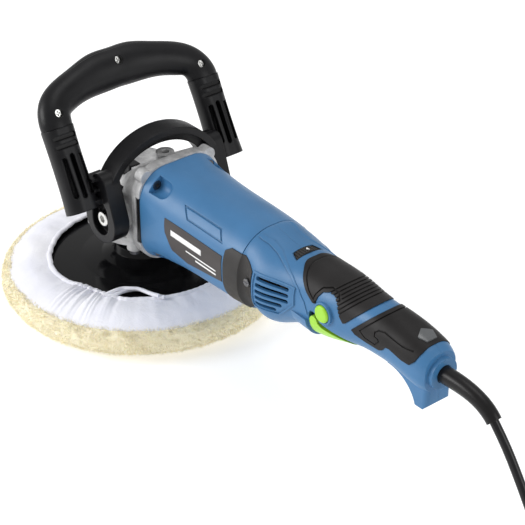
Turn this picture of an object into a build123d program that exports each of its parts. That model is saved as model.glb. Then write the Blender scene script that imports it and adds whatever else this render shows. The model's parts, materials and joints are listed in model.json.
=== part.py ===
from build123d import *
import os
from math import cos, hypot, pi, radians, sin, tan

# Rotary polisher with a 180 mm backing plate, a wool bonnet and a loop handle.
# Millimetres. Z is the spindle axis, Z = 0 is the working face of the pad, and
# +X runs back along the motor to the rear handle and the cord.

os.makedirs("parts", exist_ok=True)

# ---- driving dimensions ----
AXIS_Z = 88.0            # motor axis above the working face
PILE_R = 105.0           # wool bonnet, outer radius
PLATE_R = 90.0           # backing plate
OPENING_R = 65.5         # opening of the bonnet on top of the plate
FLANGE_X = 46.0          # gear housing flange meets the motor housing
SEAM_X = 148.5           # motor housing meets the rear handle shells
REAR_X = 304.5           # back face of the handle
SHELL = 2.6              # wall of the plastic shells
GEAR_R = 30.0            # large bevel gear
PINION_R = 6.0           # bevel pinion
GEAR_TEETH = 40
PINION_TEETH = 8
PIVOT_X = 23.0           # loop handle pivot, on both sides of the gear housing
PIVOT_Z = 84.5
EAR_IN = 38.5            # inner and outer faces of the bracket's ears
EAR_OUT = 51.0
LOOP_LEAN = 27.2         # the loop leans forward from the vertical, degrees
LOOP_N = 61.4            # distance of the loop's middle plane from the origin
CORD_D = 6.0
FIT = 0.05               # radial running fit
GAP = 0.3                # gap between moving neighbours

C = Align.CENTER
UP = (C, C, Align.MIN)

# Outer form of the body: x, half width, half height, corner radius, centre z
MOTOR_FORM = [
    (46.0, 33.6, 35.6, 22.0, 88.0),
    (64.0, 33.2, 34.0, 27.0, 88.4),
    (110.0, 32.0, 32.0, 28.5, 88.4),
    (148.5, 30.8, 30.6, 28.0, 88.2),
]
HANDLE_FORM = [
    (148.5, 30.8, 30.6, 28.0, 88.2),
    (163.0, 30.0, 29.0, 27.4, 87.8),
    (178.0, 27.4, 26.8, 25.4, 87.5),
    (192.0, 22.4, 23.2, 19.5, 90.4),
    (207.0, 21.0, 22.2, 17.5, 91.2),
    (225.0, 19.4, 20.6, 16.5, 92.4),
    (246.0, 16.8, 17.2, 15.0, 93.8),
    (264.0, 16.4, 16.4, 15.0, 94.0),
    (280.0, 16.0, 16.2, 14.4, 92.8),
    (294.0, 15.6, 16.0, 13.6, 89.8),
    (301.0, 14.4, 15.0, 12.4, 88.4),
    (REAR_X, 12.8, 13.4, 10.8, 87.6),
]


def save(name, shape):
    """Write one sub-part as its own STEP file."""
    export_step(shape, f"parts/{name}.step")


def group(pieces):
    """Several separate solids that share one node."""
    solids = []
    for piece in pieces:
        solids.extend(piece.solids())
    return Compound(children=solids)


def section(station, grow=0.0):
    """Rounded cross-section of the body, grown outwards by grow."""
    x, half_w, half_h, corner, centre_z = station
    plane = Plane(origin=(x, 0, centre_z), x_dir=(0, 1, 0), z_dir=(1, 0, 0))
    return plane * RectangleRounded(2 * (half_w + grow), 2 * (half_h + grow), corner + grow)


def body(form, grow=0.0):
    """Loft through the stations, grown outwards by grow."""
    return loft([section(s, grow) for s in form])


def side_prism(points, y_from=-60.0, y_to=60.0):
    """Extrude a side-view outline of (x, z) points across the body."""
    plane = Plane(origin=(0, y_from, 0), x_dir=(1, 0, 0), z_dir=(0, -1, 0))
    return extrude(plane * Polygon(*points, align=None), amount=y_to - y_from, dir=(0, 1, 0))


def line_prism(points, width, y_from=-60.0, y_to=60.0):
    """Narrow band of the given width along a side-view line of (x, z) points."""
    prisms = []
    for (x0, z0), (x1, z1) in zip(points, points[1:]):
        length = hypot(x1 - x0, z1 - z0)
        along_px, along_pz = (x1 - x0) / length * width / 2, (z1 - z0) / length * width / 2
        ends = [(x0 - along_px, z0 - along_pz), (x1 + along_px, z1 + along_pz)]
        corners = [(x - along_pz, z + along_px) for x, z in ends]
        corners += [(x + along_pz, z - along_px) for x, z in reversed(ends)]
        prisms.append(side_prism(corners, y_from, y_to))
    return prisms


def box(x0, x1, y0, y1, z0, z1):
    return Pos(x0, y0, z0) * Box(x1 - x0, y1 - y0, z1 - z0, align=(Align.MIN,) * 3)


def rod_x(radius, x0, x1, y=0.0, z=AXIS_Z):
    plane = Plane(origin=(x0, y, z), x_dir=(0, 1, 0), z_dir=(1, 0, 0))
    return plane * Cylinder(radius, x1 - x0, align=UP)


def rod_y(radius, y0, y1, x=0.0, z=AXIS_Z):
    plane = Plane(origin=(x, y0, z), x_dir=(0, 0, 1), z_dir=(0, 1, 0))
    return plane * Cylinder(radius, y1 - y0, align=UP)


def rod_z(radius, z0, z1, x=0.0, y=0.0):
    return Pos(x, y, z0) * Cylinder(radius, z1 - z0, align=UP)


def turned(points):
    """Revolve a profile of (radius, z) points about the spindle axis."""
    return revolve(Plane.XZ * Polygon(*points, align=None), Axis.Z)


def both_sides(piece):
    return [piece, mirror(piece, Plane.XZ)]


# ---- pad: backing plate and bonnet, turning with the spindle ----

# top face of the plate, from the hub down to the rim: radius, z
PLATE_TOP = [(20.0, 40.0), (22.0, 35.0), (30.0, 31.0), (45.0, 28.6), (66.0, 27.0), (PLATE_R, 24.6)]
PLATE_BASE_Z = 21.0
INSERT_R = 11.0


def backing_plate():
    profile = [(INSERT_R, PLATE_BASE_Z), (PLATE_R, PLATE_BASE_Z)]
    profile += reversed(PLATE_TOP)
    profile += [(INSERT_R, 40.0)]
    return turned(profile)


def plate_insert():
    """Steel hub with the M14 thread bore, set in the plate."""
    ring = rod_z(INSERT_R, PLATE_BASE_Z, 40.0) - rod_z(7.0, PLATE_BASE_Z, 40.0)
    collar = extrude(Plane.XY.offset(40.0) * RegularPolygon(12.0, 6), amount=5.0)
    return ring + (collar - rod_z(7.0, 40.0, 45.0))


def backing_foam():
    return rod_z(PLATE_R, 13.0, PLATE_BASE_Z)


SKIRT_T = 2.2            # cotton, seam allowance and slack together
HEM_R = 3.1              # rolled hem round the opening
HEM_Z = 27.2 + HEM_R


def bonnet_skirt():
    """White cotton: up over the rim and in to the hem on top of the plate."""
    inner = [(PLATE_R + 0.6, 13.0), (PLATE_R + 0.6, 24.6), (66.0, 27.1)]
    outer = [(66.0, 27.1 + SKIRT_T), (91.0, 24.6 + SKIRT_T), (96.0, 21.5), (96.0, 13.0)]
    skirt = turned(inner + outer)
    hem = Pos(0, 0, HEM_Z) * Torus(OPENING_R + HEM_R, HEM_R)
    channel = Pos(0, 0, HEM_Z) * Torus(OPENING_R + HEM_R, 1.6)
    return skirt + hem - channel


def drawstring():
    return Pos(0, 0, HEM_Z) * Torus(OPENING_R + HEM_R, 1.5)


def wool_pile():
    """Cream pile: a pad under the foam with a full round rim."""
    rim = Spline((86.0, 0.0), (97.0, 4.2), (103.6, 10.0), (PILE_R, 16.0), (102.6, 21.6), (96.1, 23.4))
    rest = Polyline((96.1, 23.4), (96.1, 12.9), (0.0, 12.9), (0.0, 0.0), (86.0, 0.0))
    return revolve(Plane.XZ * make_face(rim + rest), Axis.Z)


SPINDLE_STEPS = [        # radius, z of the step's lower end, z of its upper end
    (7.0, 23.0, 46.0), (11.5, 46.0, 49.0), (7.5 - FIT, 49.0, 66.0),
    (8.0, 66.0, 82.0), (6.0 - FIT, 82.0, 99.0),
]


def spindle():
    shaft = rod_z(*SPINDLE_STEPS[0])
    for radius, z0, z1 in SPINDLE_STEPS[1:]:
        shaft += rod_z(radius, z0, z1)
    flats = box(-12, 12, 9.0, 13, 46, 49) + box(-12, 12, -13, -9.0, 46, 49)
    return shaft - flats


GEAR_TOP = AXIS_Z - PINION_R - 0.4


def bevel_gear():
    """Large bevel gear on the spindle, with teeth round its upper rim and four lock holes."""
    disc = turned([(8.0, 67.0), (22.0, 67.0), (GEAR_R, 73.0), (GEAR_R, 79.0), (19.0, 79.0), (8.0, 79.0)])
    teeth = []
    for i in range(GEAR_TEETH):
        tooth = Pos(GEAR_R - 5.0, 0, 78.9) * Box(9.6, 2.0, GEAR_TOP - 78.9, align=UP)
        teeth.append(Rot(0, 0, 360.0 * i / GEAR_TEETH) * tooth)
    disc += teeth
    for i in range(4):
        disc -= Rot(0, 0, 90.0 * i) * rod_z(3.2, 70.0, 90.0, x=LOCK_X, y=LOCK_Y)
    return disc


# ---- gear housing and its covers ----

def gear_housing():
    head = rod_z(33.6, 60.0, 84.0)
    head += Pos(0, 0, 84.0) * Cone(33.6, 22.0, 19.0, align=UP)
    neck = loft([
        section((8.0, 28.0, 20.0, 16.0, 84.0)),
        section((24.0, 32.0, 29.0, 20.0, 87.0)),
        section((38.0, 33.6, 34.6, 21.0, 88.0)),
    ])
    flange = extrude(section((38.0, 34.6, 36.4, 21.0, 88.0)), amount=FLANGE_X - 38.0)
    housing = head + neck + flange
    for side in (-1, 1):
        housing += rod_x(5.2, 38.4, FLANGE_X, y=26.6 * side, z=AXIS_Z + 30.4)
        boss = rod_y(13.0, 24.0, EAR_IN - GAP, x=PIVOT_X, z=PIVOT_Z)
        housing += boss if side > 0 else mirror(boss, Plane.XZ)
    for x, y in COVER_SCREWS:
        housing += rod_z(5.4, 60.0, 76.0, x=x, y=y)
    housing -= rod_z(45.0, 40.0, 60.0) & box(-50, 37.0, -50, 50, 40, 60)
    # ribs on the sloping top face, and a raised ring round the grease screw
    for y in HEAD_RIBS:
        housing += side_prism([(14.0, 100.0), (38.0, 100.0), (38.0, 124.0), (14.0, 110.0)], y - 1.1, y + 1.1)
    housing += rod_z(6.5, 100.0, 124.0, x=31.0)
    # cavities: gears, pinion, top bush, lower opening
    housing -= rod_z(GEAR_R + 0.8, 60.0, 84.0)
    housing -= rod_x(15.0, 12.0, 38.0)
    housing -= rod_z(9.0, 84.0, 100.0)
    housing -= rod_x(26.0, 36.0, FLANGE_X)
    housing -= rod_z(3.0, 112.0, 125.0, x=31.0)
    # the motor air leaves through a slot on each side of the flange
    for piece in both_sides(box(42.0, FLANGE_X, 32.2, 36.0, 70.0, 105.0)):
        housing -= piece
    # threaded holes: side handle bolts, cover screws, housing screws
    for side in (-1, 1):
        hole = rod_y(4.0, 29.0, 40.0, x=PIVOT_X, z=PIVOT_Z)
        housing -= hole if side > 0 else mirror(hole, Plane.XZ)
        for height in (-1, 1):
            housing -= rod_x(2.1, 36.0, FLANGE_X, y=BOSS_Y * side, z=AXIS_Z + BOSS_Z * height)
    for x, y in COVER_SCREWS:
        housing -= rod_z(2.0, 60.0, 72.0, x=x, y=y)
    # seat, bore and spring pocket of the spindle lock
    housing -= lock_slab(101.8, 130.0, GAP + 0.2)
    housing -= rod_z(LOCK_R + 0.15, 84.0, 112.0, x=LOCK_X, y=LOCK_Y)
    housing -= rod_z(LOCK_CAP_R + GAP, 96.0, 104.0, x=LOCK_X, y=LOCK_Y)
    return housing


HEAD_RIBS = (-17.0, -12.4, -7.8, 11.0, 16.0)
COVER_SCREWS = [(24.0 * sx, 24.0 * sy) for sx in (-1, 1) for sy in (-1, 1)]
BOSS_Y = 22.6            # corner screws of the housing flange, from the motor axis
BOSS_Z = 26.2
LOCK_X = 8.0             # spindle lock, over the ring of holes in the large gear
LOCK_Y = -14.0
LOCK_R = 2.6
LOCK_CAP_R = 5.3


def lock_slab(z0, z1, grow=0.0):
    """Rounded oblong of the lock's cap, between two heights."""
    plane = Plane(origin=(LOCK_X, LOCK_Y, z0))
    return extrude(plane * RectangleRounded(16.0 + 2 * grow, 10.0 + 2 * grow, 3.0 + grow), amount=z1 - z0)


def bearing_cover():
    cover = rod_z(35.0, 54.0, 60.0) + rod_z(21.5, 49.0, 54.0)
    for x, y in COVER_SCREWS:
        cover += rod_z(5.4, 52.0, 60.0, x=x, y=y)
    cover -= rod_z(17.5, 50.0, 60.0)
    cover -= rod_z(12.0, 48.0, 50.0)
    for x, y in COVER_SCREWS:
        cover -= rod_z(2.0, 52.0, 60.0, x=x, y=y)
    return cover


def cover_screws():
    screws = []
    for x, y in COVER_SCREWS:
        head = rod_z(3.8, 48.6, 52.0, x=x, y=y) - rod_z(1.8, 48.6, 50.6, x=x, y=y)
        screws.append(head + rod_z(2.0, 52.0, 71.0, x=x, y=y))
    return screws


def dust_ring():
    return rod_z(17.0, 45.4, 49.0) - rod_z(12.4, 45.4, 49.0)


def ball_bearing(bore, outer, width):
    """Deep-groove bearing drawn as two rings and a row of balls between them, as one piece."""
    wall = (outer - bore) / 3.0
    rings = rod_z(outer, 0, width) - rod_z(outer - wall, 0, width)
    rings += rod_z(bore + wall, 0, width) - rod_z(bore, 0, width)
    web = rod_z(outer - wall, width * 0.25, width * 0.75) - rod_z(bore + wall, width * 0.25, width * 0.75)
    return rings + web


def along_x(piece, x):
    """Turn a piece built on Z so that it lies on the motor axis, starting at x."""
    return Plane(origin=(x, 0, AXIS_Z), x_dir=(0, 1, 0), z_dir=(1, 0, 0)) * piece


def lower_bearing():
    return Pos(0, 0, 50.0) * ball_bearing(7.5, 17.5, 11.0)


def upper_bush():
    return rod_z(9.0, 89.0, 99.9) - rod_z(6.0, 89.0, 99.9)


def lock_button():
    """Black oblong cap with a steel pin; it slides down into a hole in the large gear."""
    cap = fillet(lock_slab(105.4, 111.4).edges().group_by(Axis.Z)[-1], 1.6)
    cap += rod_z(LOCK_CAP_R, 101.8, 105.4, x=LOCK_X, y=LOCK_Y)
    return cap + rod_z(LOCK_R, 79.8, 101.8, x=LOCK_X, y=LOCK_Y)


def lock_spring():
    """Return spring round the pin, drawn as its envelope."""
    return rod_z(5.2, 96.2, 101.5, x=LOCK_X, y=LOCK_Y) - rod_z(3.4, 96.2, 101.5, x=LOCK_X, y=LOCK_Y)


def bearing_plate():
    plate = rod_x(26.0 - 0.05, 38.0, FLANGE_X) - rod_x(16.0, 36.0, FLANGE_X)
    return plate


def housing_screws():
    """Four long screws that clamp the motor housing to the gear housing."""
    screws = []
    for side in (-1, 1):
        for height in (-1, 1):
            y, z = BOSS_Y * side, AXIS_Z + BOSS_Z * height
            head = rod_x(3.4, 49.4, 51.8, y=y, z=z) - rod_x(1.6, 50.4, 52.0, y=y, z=z)
            screws.append(head + rod_x(2.1, 36.2, 49.4, y=y, z=z))
    return group(screws + cover_screws())


# ---- motor ----

def motor_housing():
    """Blue tube: front screw pockets, side panel line, label recess, brush windows."""
    outer = body(MOTOR_FORM)
    inner = body([(x, w - 3.0, h - 3.0, r - 3.0, z) for x, w, h, r, z in MOTOR_FORM])
    bosses = rod_x(12.0, 46.0, 72.0, y=28.3, z=AXIS_Z + 28.3)
    bosses += rod_x(12.0, 46.0, 72.0, y=28.3, z=AXIS_Z - 28.3)
    bosses += mirror(bosses, Plane.XZ)
    shell = (outer - inner) + (bosses & outer) - rod_x(28.8, 46.0, 74.0)
    for side in (-1, 1):
        for height in (-1, 1):
            y, z = 25.4 * side, AXIS_Z + 28.8 * height
            shell -= rod_x(7.0, 52.0, 62.0, y=y, z=z) + Pos(62.0, y, z) * Sphere(7.0)
            shell -= rod_x(2.1, 46.0, 53.0, y=BOSS_Y * side, z=AXIS_Z + BOSS_Z * height)
            shell -= rod_x(3.6, 49.4, 53.0, y=BOSS_Y * side, z=AXIS_Z + BOSS_Z * height)
    skin = outer - body([(x, w - 0.7, h - 0.7, r - 0.7, z) for x, w, h, r, z in MOTOR_FORM])
    shell -= skin & side_prism(LABEL_OUTLINE)
    shell -= skin & (side_prism(PANEL_OUTLINE) - side_prism(PANEL_INNER))
    deep = outer - body([(x, w - 1.7, h - 1.7, r - 1.7, z) for x, w, h, r, z in MOTOR_FORM])
    shell -= deep & side_prism(BRUSH_OUTLINE)
    shell -= rod_y(8.4, -40, 40, x=BRUSH_X)
    shell -= skin & box(SEAM_X - 0.6, SEAM_X, -50, 50, 40, 130)
    return shell


LABEL_OUTLINE = [(72.5, 101.4), (132.2, 98.8), (132.6, 79.6), (96.0, 76.2), (80.5, 80.0), (73.4, 91.0)]
PANEL_OUTLINE = [(84.0, 113.6), (122.8, 112.4), (129.6, 105.6), (92.0, 107.0)]
PANEL_INNER = [(86.4, 112.6), (122.2, 111.5), (127.2, 106.6), (92.6, 107.9)]
BRUSH_OUTLINE = [(134.0, 70.0), (134.0, 103.8), (138.6, 106.6), (151.0, 106.2), (156.5, 103.0),
                 (160.6, 99.6), (161.0, 75.8), (158.0, 66.5), (148.0, 62.5), (136.0, 62.5)]
BRUSH_X = 145.0


def label_plate():
    """Plain nameplate on the left side, following the housing."""
    outer = body(MOTOR_FORM, 0.35)
    inner = body([(x, w - 0.7, h - 0.7, r - 0.7, z) for x, w, h, r, z in MOTOR_FORM])
    return (outer - inner) & side_prism(LABEL_OUTLINE, -60, 0)


def label_plates():
    left = label_plate()
    return group([left, mirror(left, Plane.XZ)])


def brush_cover():
    """Dark cover over the brush on the left side, wrapped under the housing."""
    front = body(MOTOR_FORM, 0.5) - body([(x, w - 1.7, h - 1.7, r - 1.7, z) for x, w, h, r, z in MOTOR_FORM])
    rear = body(HANDLE_FORM, 0.5) - body(form_in(1.7))
    cover = (front + rear) & side_prism(BRUSH_OUTLINE, -60, -8)
    cover -= rod_y(3.4, -60, -28.8, x=157.0, z=90.5)
    cover -= rod_y(1.6, -60, -8, x=157.0, z=90.5)
    return cover


def cover_screw():
    head = rod_y(2.8, -30.6, -29.0, x=157.0, z=90.5)
    slot = box(154.0, 160.0, -31.0, -30.1, 90.1, 90.9)
    return head + rod_y(1.6, -29.0, -22.0, x=157.0, z=90.5) - slot


def fan_baffle():
    """Black ring behind the flange; its edges show in the side air slots."""
    disc = extrude(section((46.0, 29.0, 29.0, 24.0, 88.0)), amount=2.4) & rod_x(28.7, 46.0, 48.4)
    disc -= rod_x(19.0, 46.0, 48.4)
    return group([disc] + slot_screens())


def slot_screens():
    """Black screens in the air slots of the gear housing flange."""
    return both_sides(box(42.8, FLANGE_X, 32.25, 33.9, 70.1, 104.9))


def stator_core():
    core = rod_x(28.2, 82.0, 122.0) - rod_x(20.6, 82.0, 122.0)
    for piece in both_sides(box(82.0, 122.0, 20.0, 24.6, AXIS_Z - 9, AXIS_Z + 9)):
        core -= piece
    return core


def field_windings():
    """Two copper coils through the stator slots, bulging at each end."""
    ring = rod_x(27.4, 74.5, 81.9) - rod_x(21.0, 74.5, 81.9)
    ring += rod_x(27.4, 122.1, 129.5) - rod_x(21.0, 122.1, 129.5)
    upper = ring & box(70, 132, -30, 30, AXIS_Z + 0.4, AXIS_Z + 30)
    for leg_side in both_sides(box(81.9, 122.1, 21.0, 24.4, AXIS_Z + 0.6, AXIS_Z + 8.8)):
        upper += leg_side
    lower = mirror(upper, Plane.XY.offset(AXIS_Z))
    return group([upper, lower])


def rear_bearing_bracket():
    """Four-armed bracket that carries the rear bearing inside the handle shells."""
    bracket = rod_x(14.0, 160.0, 169.0) + (rod_x(24.8, 160.0, 163.0) - rod_x(22.2, 160.0, 163.0))
    bracket += rod_x(14.0, 160.0, 163.0)
    for turn in (45, 135):
        arm = along_x(Rot(0, 0, turn) * Box(47.0, 5.0, 3.0, align=UP), 160.0)
        bracket += arm
    bracket -= rod_x(11.0, 160.0, 167.4)
    return bracket


def brush_springs():
    return both_sides(rod_y(2.2, 21.0, 26.9, x=145.0) - rod_y(1.4, 21.0, 26.9, x=145.0))


def brush_holders():
    holder = box(141.0, 149.0, 14.4, 27.0, AXIS_Z - 6.5, AXIS_Z + 6.5)
    holder -= box(142.5, 147.5, 14.0, 27.4, AXIS_Z - 4.2, AXIS_Z + 4.2)
    return group(both_sides(holder) + brush_springs())


def carbon_brushes():
    return group(both_sides(box(142.6, 147.4, 13.4, 21.0, AXIS_Z - 4.1, AXIS_Z + 4.1)))


ROTOR_STEPS = [(3.5, 18.0, 36.0), (6.0 - FIT, 36.0, 50.0), (6.4, 50.0, 152.0), (4.5 - FIT, 152.0, 167.0)]


def rotor_shaft():
    shaft = rod_x(*ROTOR_STEPS[0])
    for radius, x0, x1 in ROTOR_STEPS[1:]:
        shaft += rod_x(radius, x0, x1)
    return shaft


def pinion():
    ring = rod_x(PINION_R - 1.2, 19.0, 31.0)
    teeth = []
    for i in range(PINION_TEETH):
        tooth = Pos(PINION_R - 1.4, 0, 0) * Box(1.9, 1.6, 12.0, align=(C, C, Align.MIN))
        teeth.append(along_x(Rot(0, 0, 360.0 * i / PINION_TEETH) * tooth, 19.0))
    return ring + teeth - rod_x(3.5, 18.0, 32.0)


def cooling_fan():
    fan = rod_x(27.0, 52.0, 54.0) + rod_x(12.0, 52.0, 66.0)
    for i in range(18):
        blade = Pos(20.0, 0, 0) * Rot(0, 0, 24) * Box(12.0, 1.4, 12.0, align=UP)
        fan += along_x(Rot(0, 0, 20.0 * i) * blade, 54.0)
    return fan - rod_x(6.4, 50.0, 68.0)


def armature_core():
    core = rod_x(20.0, 82.0, 122.0)
    for i in range(12):
        slot = Pos(18.6, 0, 0) * Box(4.0, 2.2, 40.0, align=UP)
        core -= along_x(Rot(0, 0, 30.0 * i) * slot, 82.0)
    return core - rod_x(6.4, 80.0, 124.0)


def armature_windings():
    front = rod_x(17.0, 72.0, 82.0) - rod_x(6.4, 72.0, 82.0)
    rear = rod_x(17.0, 122.0, 132.0) - rod_x(6.4, 122.0, 132.0)
    return group([front, rear])


def commutator():
    ring = rod_x(13.0, 137.0, 151.0)
    for i in range(24):
        cut = Pos(13.0, 0, 0) * Box(1.6, 0.5, 14.0, align=UP)
        ring -= along_x(Rot(0, 0, 15.0 * i) * cut, 137.0)
    return ring - rod_x(6.4, 136.0, 152.0)


# ---- rear handle ----

def form_in(depth):
    return [(x, w - depth, h - depth, max(r - depth, 2.0), z) for x, w, h, r, z in HANDLE_FORM]


FRONT_GRIP = [(186.0, 120.0), (189.0, 114.0), (193.5, 111.4), (198.0, 107.6), (204.5, 102.6), (211.5, 98.4),
              (213.6, 98.8), (214.2, 103.4), (216.4, 107.2), (221.0, 108.6), (226.0, 108.0), (230.0, 104.6),
              (233.6, 98.4), (236.6, 94.6), (238.6, 95.6), (253.4, 111.4), (258.0, 120.0)]
REAR_GRIP = [(243.6, 93.2), (247.0, 91.2), (256.0, 90.4), (268.0, 90.6), (270.6, 92.0), (273.4, 95.4),
             (276.6, 95.8), (287.0, 93.4), (293.6, 93.2), (297.0, 96.6), (298.8, 102.0), (300.0, 120.0),
             (270.0, 120.0), (261.4, 111.4)]
REAR_GROOVE = [(266.9, 113.0), (251.0, 96.2), (255.5, 93.6), (264.6, 93.2), (267.8, 96.6), (266.6, 98.0),
               (263.6, 98.6), (263.4, 101.0), (265.9, 103.0), (270.3, 103.8), (277.8, 102.7), (286.0, 101.6),
               (293.6, 101.6)]
GRIP_DEPTH = 1.6
GRIP_PROUD = 0.6
BUTTON_X = 220.4
BUTTON_Z = 94.6
BUTTON_R = 5.9
TRIGGER_SIDE = [(209.0, 60.0), (209.0, 85.6), (209.7, 87.6), (211.0, 88.8), (213.2, 88.8), (214.8, 87.6),
                (216.0, 84.8), (219.0, 82.6), (240.0, 78.0), (240.0, 60.0)]
TRIGGER_ROOM = [(207.8, 60.0), (207.8, 89.4), (209.2, 91.6), (214.6, 91.6), (217.2, 88.2), (219.6, 85.4),
                (240.4, 80.0), (241.6, 78.8), (241.6, 60.0)]
DIAL_X = 180.3
DIAL_R = 19.5
DIAL_Z = 95.3
DIAL_W = 6.4


def handle_hook():
    """Foot below the back of the handle, swept down from the grip."""
    plane = Plane(origin=(0, -FOOT_W / 2, 0), x_dir=(1, 0, 0), z_dir=(0, -1, 0))
    sweep_down = Spline((270.0, 80.0), (284.0, 76.0), (291.4, 69.4), (295.0, FOOT_Z))
    rest = Polyline((295.0, FOOT_Z), (301.8, FOOT_Z), (REAR_X, FOOT_Z + 2.8), (REAR_X, 90.0), (270.0, 90.0),
                    (270.0, 80.0))
    hook = extrude(plane * make_face(sweep_down + rest), amount=FOOT_W, dir=(0, 1, 0))
    return hook & extrude(Pos(REAR_X - 20.0, 0, 60.0) * RectangleRounded(40.0, FOOT_W, 3.4), amount=35.0)


FOOT_Z = 62.4
FOOT_W = 21.2


def handle_outer():
    collar = rod_x(10.6, 300.0, REAR_X + 3.6, z=SLEEVE_Z)
    return body(HANDLE_FORM) + handle_hook() + collar


def handle_shell(side):
    """One half of the rear handle: side is +1 or -1 along Y."""
    outer = handle_outer()
    inner = loft([section(s) for s in form_in(SHELL)[:-2]])
    solid = outer - inner
    skin = body(HANDLE_FORM) - body(form_in(GRIP_DEPTH))
    solid -= skin & side_prism(FRONT_GRIP)
    solid -= skin & side_prism(REAR_GRIP)
    cover_skin = body(HANDLE_FORM) - body(form_in(1.7))
    solid -= cover_skin & side_prism(BRUSH_OUTLINE)
    rim = body(HANDLE_FORM, 0.8) - body(form_in(1.5))
    solid += rim & (side_prism(VENT_FRAME) - side_prism(VENT_INSIDE))
    low_skin = body(HANDLE_FORM, 0.5) - body(form_in(1.5))
    for crease in line_prism(CREASE, 1.4):
        solid += low_skin & crease
    # lip in front of the trigger, and the raised rim round the lock-on button
    lip = loft([section(HANDLE_FORM[3]), section(HANDLE_FORM[4], LIP)]) & box(192, 207, -40, 40, 50, 84)
    solid += lip - inner
    if side < 0:
        solid += rod_y(BUTTON_R + 1.9, -21.0, -18.0, x=BUTTON_X, z=BUTTON_Z)
    solid -= side_prism(TRIGGER_ROOM)
    # window of the speed dial, air slots, button bore, bore for the strain relief
    solid -= rod_x(DIAL_R + 0.5, DIAL_X - DIAL_W / 2 - 0.4, DIAL_X + DIAL_W / 2 + 0.4, z=DIAL_Z)
    for row in range(VENT_ROWS):
        x_end = min(190.0, 181.0 + 4.4 * row)
        centre = ((VENT_X + x_end) / 2, -40.0, 79.6 + VENT_PITCH * row)
        slot = Plane(origin=centre, x_dir=(1, 0, 0), z_dir=(0, 1, 0)) * SlotOverall(x_end - VENT_X, 2.7)
        solid -= extrude(slot, amount=80.0)
    solid -= rod_y(BUTTON_R + GAP, -40.0, 0.0, x=BUTTON_X, z=BUTTON_Z)
    solid -= rod_x(SLEEVE_R + 0.2, 290.0, 320.0, z=SLEEVE_Z)
    solid -= rod_y(8.4, -40, 40, x=BRUSH_X)
    solid -= rod_y(1.6, -40, 40, x=157.0, z=90.5)
    for x, z in SHELL_SCREWS:
        solid -= rod_y(1.7, -8.2, 40, x=x, z=z) + rod_y(3.3, 9.4, 40, x=x, z=z)
    half = box(140, 320, 0, 60, 40, 130) if side > 0 else box(140, 320, -60, 0, 40, 130)
    return solid & half


SHELL_SCREWS = [(299.0, 69.5)]
LIP = 2.2
# edge where the round motor end runs into the handle
CREASE = [(152.0, 117.3), (161.0, 115.9), (171.0, 113.2), (181.0, 109.6), (189.6, 105.8), (197.4, 101.0),
          (203.0, 95.2), (206.0, 88.0)]
VENT_ROWS = 5
VENT_X = 165.2           # front end of the air slots
VENT_PITCH = 4.5
# raised rim round the air slots, outer and inner outline
VENT_FRAME = [(162.2, 101.4), (195.0, 101.4), (195.0, 88.4), (183.0, 75.6), (162.2, 75.6)]
VENT_INSIDE = [(163.4, 100.2), (193.8, 100.2), (193.8, 88.9), (182.4, 76.8), (163.4, 76.8)]


def shell_screws():
    screws = []
    for x, z in SHELL_SCREWS:
        screw = rod_y(3.1, 9.4, 11.2, x=x, z=z) + rod_y(1.7, -8.0, 9.4, x=x, z=z)
        screws.append(screw - box(x - 0.4, x + 0.4, 10.4, 11.4, z - 3.0, z + 3.0))
    return group(screws)


def grip(outline, grooves):
    """Rubber saddle in its recess, standing a little proud, with cut grooves."""
    rubber = (body(HANDLE_FORM, GRIP_PROUD) - body(form_in(GRIP_DEPTH))) & side_prism(outline)
    cut_skin = body(HANDLE_FORM, GRIP_PROUD + 0.2) - body(HANDLE_FORM, GRIP_PROUD - 0.7)
    for groove in grooves:
        rubber -= cut_skin & groove
    return rubber


def front_grip():
    """One groove inside the edge, and seven parallel to the slanted rear edge."""
    edge = Plane(origin=(0, -60, 0), x_dir=(1, 0, 0), z_dir=(0, -1, 0)) * Polygon(*FRONT_GRIP, align=None)
    ring = offset(edge, amount=-1.9) - offset(edge, amount=-2.7)
    grooves = [extrude(ring, amount=120.0, dir=(0, 1, 0)) & box(180, 231, -40, 40, 60, 130)]
    for i in range(7):
        shift = 3.4 * i
        line = [(229.4 - shift, 96.0), (230.4 - shift, 96.0), (254.4 - shift, 121.6), (253.4 - shift, 121.6)]
        grooves.append(side_prism(line) & box(180, 260, -40, 40, 99.0, 125.0))
    return grip(FRONT_GRIP, grooves)


def rear_grip():
    """One groove inside the front edge, turning back in an S above the lower edge."""
    return grip(REAR_GRIP, line_prism(REAR_GROOVE, 0.8))


def badge():
    """Plain grey diamond badge on top of the rear grip."""
    points = [(286.4, 0.0), (290.4, 6.2), (296.4, 4.0), (296.4, -4.0), (290.4, -6.2)]
    prism = extrude(Plane.XY.offset(95.0) * Polygon(*points, align=None), amount=40.0, dir=(0, 0, 1))
    return (body(HANDLE_FORM, GRIP_PROUD + 0.9) - body(HANDLE_FORM, GRIP_PROUD)) & prism


def trigger():
    """Wide paddle round the underside of the handle, hollow above."""
    skin = body(HANDLE_FORM, 0.5) - body(form_in(3.0))
    paddle = skin & side_prism(TRIGGER_SIDE)
    bridge = body(form_in(3.0)) & box(230.0, 240.0, -30, 30, 60, 78.0)
    return paddle + bridge


def lock_on_button():
    button = rod_y(BUTTON_R, -22.6, -14.0, x=BUTTON_X, z=BUTTON_Z)
    button = fillet(button.edges().group_by(Axis.Y)[0], 1.4)
    stem = rod_y(2.5, -14.0, -9.0, x=BUTTON_X, z=BUTTON_Z)
    return button + stem


def switch_body():
    return box(209.0, 237.0, -8.0, -1.0 + 9.0, 94.0, 107.0) - rod_y(2.9, -9.0, -4.5, x=BUTTON_X, z=BUTTON_Z)


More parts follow.
